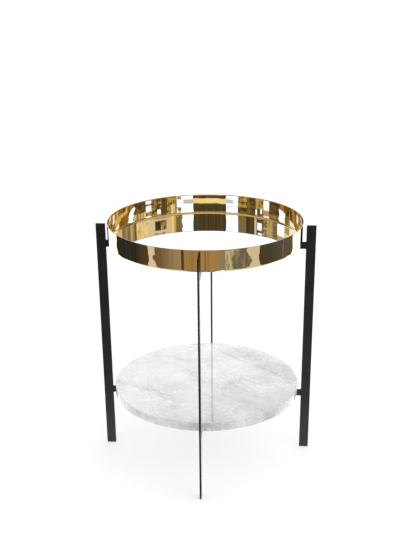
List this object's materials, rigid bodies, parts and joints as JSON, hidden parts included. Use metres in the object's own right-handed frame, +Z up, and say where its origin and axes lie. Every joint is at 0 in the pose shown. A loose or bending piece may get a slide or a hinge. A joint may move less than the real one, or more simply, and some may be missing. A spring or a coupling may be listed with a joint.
{
  "type": "wine table",
  "caption": "Round side table: slim crossed flat-bar frame that carries a loose brass tray with an upright wall between its leg tips and a loose marble disc as a lower shelf.",
  "frame": {"origin": "on the floor, under the middle of the table", "axes": "+Z up; the legs stand on -X (left), +X (right), -Y (front) and +Y (rear)"},
  "size_m": [0.502, 0.502, 0.581],
  "materials": {
    "frame_coating": "satin black powder coat on steel flat bar",
    "tray_brass": "mirror polished, spun from sheet",
    "shelf_marble": "polished white marble with soft grey veins",
    "rest_pad": "matt black strip",
    "foot_glide": "matt black slip"
  },
  "bodies": {
    "frame": {"leg_left": "frame_coating", "leg_right": "frame_coating", "leg_front": "frame_coating", "leg_rear": "frame_coating", "upper_crossbar_sideways": "frame_coating", "upper_crossbar_lengthways": "frame_coating", "lower_crossbar_sideways": "frame_coating", "lower_crossbar_lengthways": "frame_coating", "foot_glide_left": "foot_glide", "foot_glide_right": "foot_glide", "foot_glide_front": "foot_glide", "foot_glide_rear": "foot_glide", "tray_pad_left": "rest_pad", "tray_pad_right": "rest_pad", "tray_pad_front": "rest_pad", "tray_pad_rear": "rest_pad", "shelf_pad_left": "rest_pad", "shelf_pad_right": "rest_pad", "shelf_pad_front": "rest_pad", "shelf_pad_rear": "rest_pad"},
    "tray": {"brass_tray": "tray_brass"},
    "shelf": {"marble_shelf": "shelf_marble"}
  },
  "joints": [
    {"name": "tray_lift", "type": "slide", "parent": "frame", "child": "tray", "axis": [0, 0, 1], "range_m": [0, 0.15]},
    {"name": "shelf_lift", "type": "slide", "parent": "frame", "child": "shelf", "axis": [0, 0, 1], "range_m": [0, 0.33]}
  ]
}
